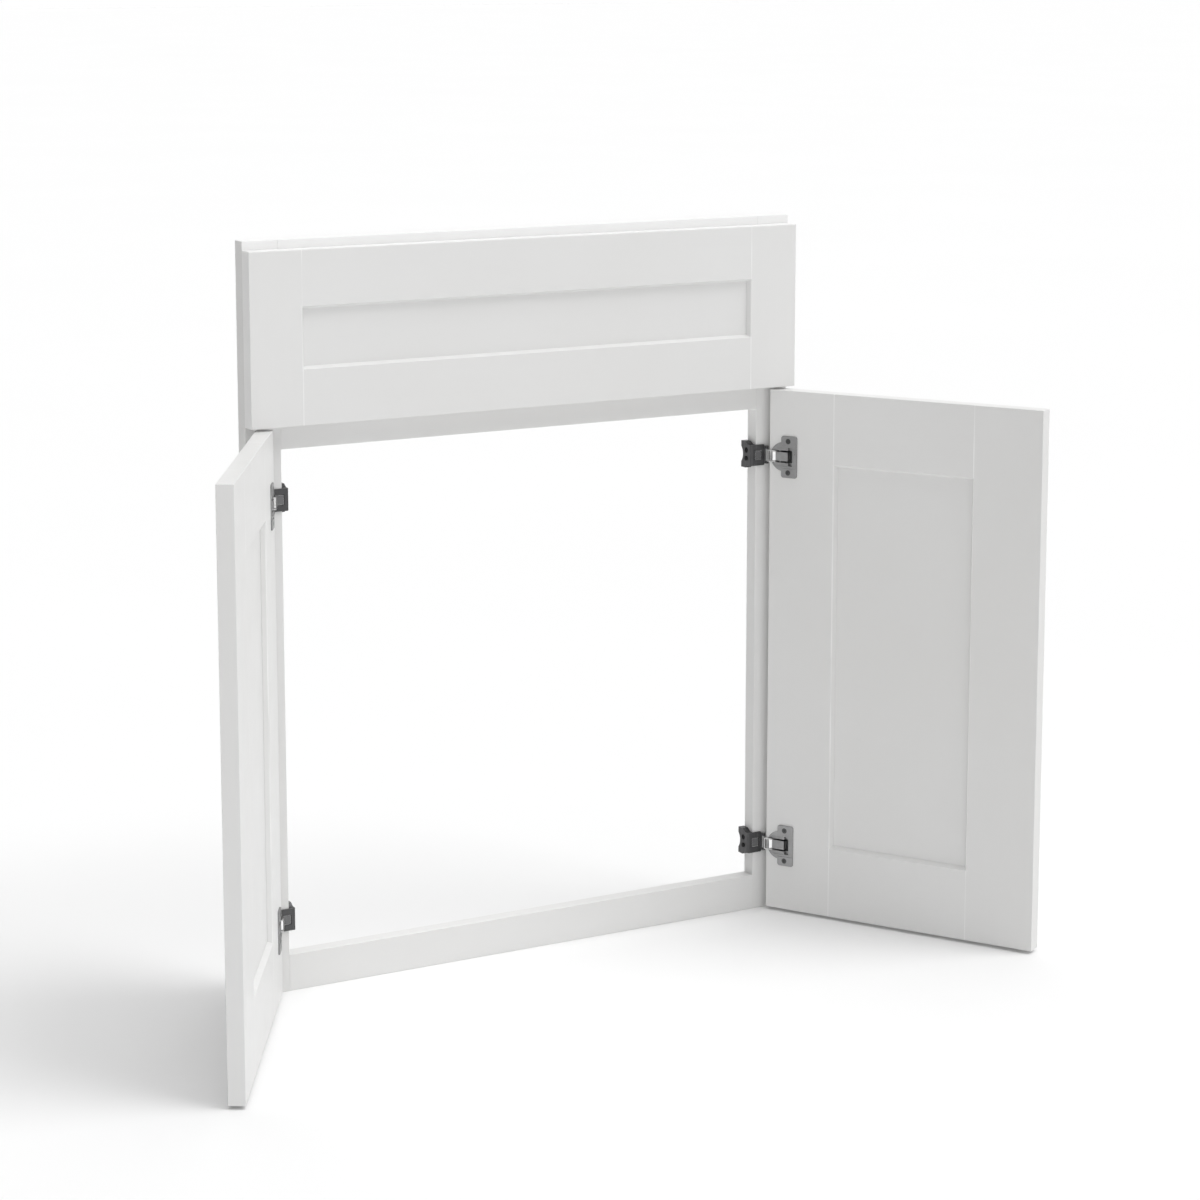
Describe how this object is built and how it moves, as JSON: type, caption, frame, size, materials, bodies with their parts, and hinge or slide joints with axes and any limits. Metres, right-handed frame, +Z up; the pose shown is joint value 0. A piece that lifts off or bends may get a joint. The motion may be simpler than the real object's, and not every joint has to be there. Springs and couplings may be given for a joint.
{
  "type": "sink base cabinet front",
  "caption": "White sink base front: face frame, fixed false drawer front and two shaker doors on concealed face-frame hinges, shown open.",
  "frame": {"origin": "middle of the bottom rail's underside, half way through the frame's thickness", "axes": "+X to the right seen from the front, +Y to the back, +Z up"},
  "size_m": [1.0566, 0.3432, 0.8763],
  "materials": {
    "painted_wood": "satin white paint on maple",
    "painted_panel": "satin white paint on fibreboard",
    "hinge_nickel": "dark nickel plated pressed steel",
    "base_plate": "nickel plated steel",
    "link_steel": "polished steel",
    "housing_zinc": "die-cast zinc, nickel plated",
    "steel_pin": "ground steel",
    "zinc_screw": "zinc plated steel"
  },
  "bodies": {
    "face_frame": {"frame_left_stile": "painted_wood", "frame_right_stile": "painted_wood", "frame_top_rail": "painted_wood", "frame_mid_rail": "painted_wood", "frame_bottom_rail": "painted_wood", "front_left_stile": "painted_wood", "front_right_stile": "painted_wood", "front_top_rail": "painted_wood", "front_bottom_rail": "painted_wood", "front_panel": "painted_panel", "front_screws": "zinc_screw", "hinge_base_screws": "zinc_screw", "hinge_cam_screws": "zinc_screw", "hinge_frame_pins": "steel_pin", "left_lower_arm": "hinge_nickel", "left_lower_base": "base_plate", "left_upper_arm": "hinge_nickel", "left_upper_base": "base_plate", "right_lower_arm": "hinge_nickel", "right_lower_base": "base_plate", "right_upper_arm": "hinge_nickel", "right_upper_base": "base_plate"},
    "left_links": {"left_lower_link": "link_steel", "left_upper_link": "link_steel"},
    "left_door": {"left_door_hinge_stile": "painted_wood", "left_door_lock_stile": "painted_wood", "left_door_bottom_rail": "painted_wood", "left_door_top_rail": "painted_wood", "left_door_panel": "painted_panel", "left_lower_cup": "hinge_nickel", "left_upper_cup": "hinge_nickel", "left_lower_housing": "housing_zinc", "left_upper_housing": "housing_zinc", "left_cup_pins": "steel_pin", "left_cup_screws": "zinc_screw"},
    "right_links": {"right_lower_link": "link_steel", "right_upper_link": "link_steel"},
    "right_door": {"right_door_hinge_stile": "painted_wood", "right_door_lock_stile": "painted_wood", "right_door_bottom_rail": "painted_wood", "right_door_top_rail": "painted_wood", "right_door_panel": "painted_panel", "right_lower_cup": "hinge_nickel", "right_upper_cup": "hinge_nickel", "right_lower_housing": "housing_zinc", "right_upper_housing": "housing_zinc", "right_cup_pins": "steel_pin", "right_cup_screws": "zinc_screw"}
  },
  "joints": [
    {"name": "left_link_swing", "type": "hinge", "parent": "face_frame", "child": "left_links", "pos_m": [-0.33239, -0.01293, 0.3336], "axis": [0, 0, 1], "range_deg": [-40, 0]},
    {"name": "left_door_swing", "type": "hinge", "parent": "left_links", "child": "left_door", "pos_m": [-0.34238, -0.02757, 0.3336], "axis": [0, 0, 1], "range_deg": [0, 160]},
    {"name": "right_link_swing", "type": "hinge", "parent": "face_frame", "child": "right_links", "pos_m": [0.33239, -0.01293, 0.3336], "axis": [0, 0, -1], "range_deg": [-40, 0]},
    {"name": "right_door_swing", "type": "hinge", "parent": "right_links", "child": "right_door", "pos_m": [0.34238, -0.02757, 0.3336], "axis": [0, 0, -1], "range_deg": [0, 160]}
  ],
  "couplings": [
    {"joint": "left_link_swing", "follows": "left_door_swing", "ratio": -0.25},
    {"joint": "right_link_swing", "follows": "right_door_swing", "ratio": -0.25}
  ]
}
